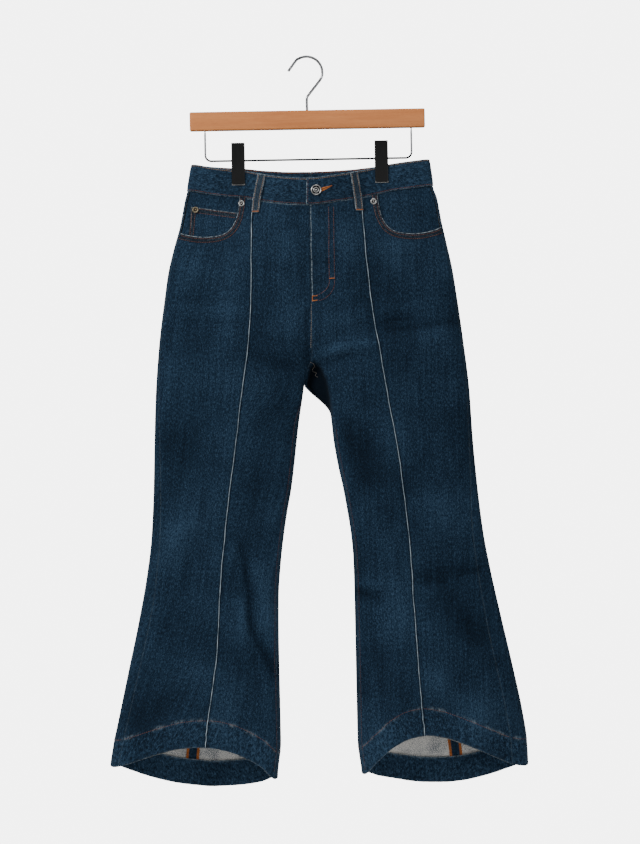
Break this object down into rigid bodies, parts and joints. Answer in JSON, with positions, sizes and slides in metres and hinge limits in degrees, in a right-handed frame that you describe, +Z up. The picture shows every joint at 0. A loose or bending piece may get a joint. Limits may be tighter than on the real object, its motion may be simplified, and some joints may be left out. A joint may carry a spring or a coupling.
{
  "type": "flared jeans on a wooden clip hanger",
  "caption": "Cropped flared denim jeans with a high waist and raised front leg seams, hung by the waistband from a wooden clip hanger.",
  "frame": {"origin": "inside top of the hanger's hook, where it hangs on a rail", "axes": "+Z up along the hook's stem, +X to the wearer's left, the front of the jeans faces -Y"},
  "size_m": [0.6301, 0.0723, 1.1075],
  "materials": {
    "denim": "dark indigo denim twill, pale and worn along its seam ridges",
    "thread": "rust and orange topstitching thread",
    "nickel": "brushed nickel button and rivets",
    "brass": "aged brass rivet",
    "wood": "satin-lacquered beech",
    "chrome": "bright chrome wire",
    "clip": "glossy black"
  },
  "bodies": {
    "root": {"front_inner_right_upper": "denim", "front_inner_right_middle": "denim", "front_inner_right_lower": "denim", "front_inner_left_upper": "denim", "front_inner_left_middle": "denim", "front_inner_left_lower": "denim", "front_outer_right_upper": "denim", "front_outer_right_middle": "denim", "front_outer_right_lower": "denim", "front_outer_left_upper": "denim", "front_outer_left_middle": "denim", "front_outer_left_lower": "denim", "back_inner_right_upper": "denim", "back_inner_right_middle": "denim", "back_inner_right_lower": "denim", "back_inner_left_upper": "denim", "back_inner_left_middle": "denim", "back_inner_left_lower": "denim", "back_outer_right_upper": "denim", "back_outer_right_middle": "denim", "back_outer_right_lower": "denim", "back_outer_left_upper": "denim", "back_outer_left_middle": "denim", "back_outer_left_lower": "denim", "yoke_right": "denim", "yoke_left": "denim", "band_right": "denim", "band_left": "denim", "fly": "denim", "front_ridge_right": "denim", "front_ridge_left": "denim", "hem_front_right": "denim", "hem_front_left": "denim", "hem_back_right": "denim", "hem_back_left": "denim", "pocket_facing_right": "denim", "pocket_facing_left": "denim", "coin_pocket": "denim", "back_pocket_right": "denim", "back_pocket_left": "denim", "loop_front_right": "denim", "loop_front_left": "denim", "loop_side_right": "denim", "loop_side_left": "denim", "loop_back": "denim", "button": "nickel", "rivet_right": "nickel", "rivet_left": "nickel", "rivet_coin": "brass", "hanger_bar": "wood", "hanger_hook": "chrome", "hanger_wire": "chrome", "clip_right": "clip", "clip_left": "clip"}
  },
  "joints": []
}
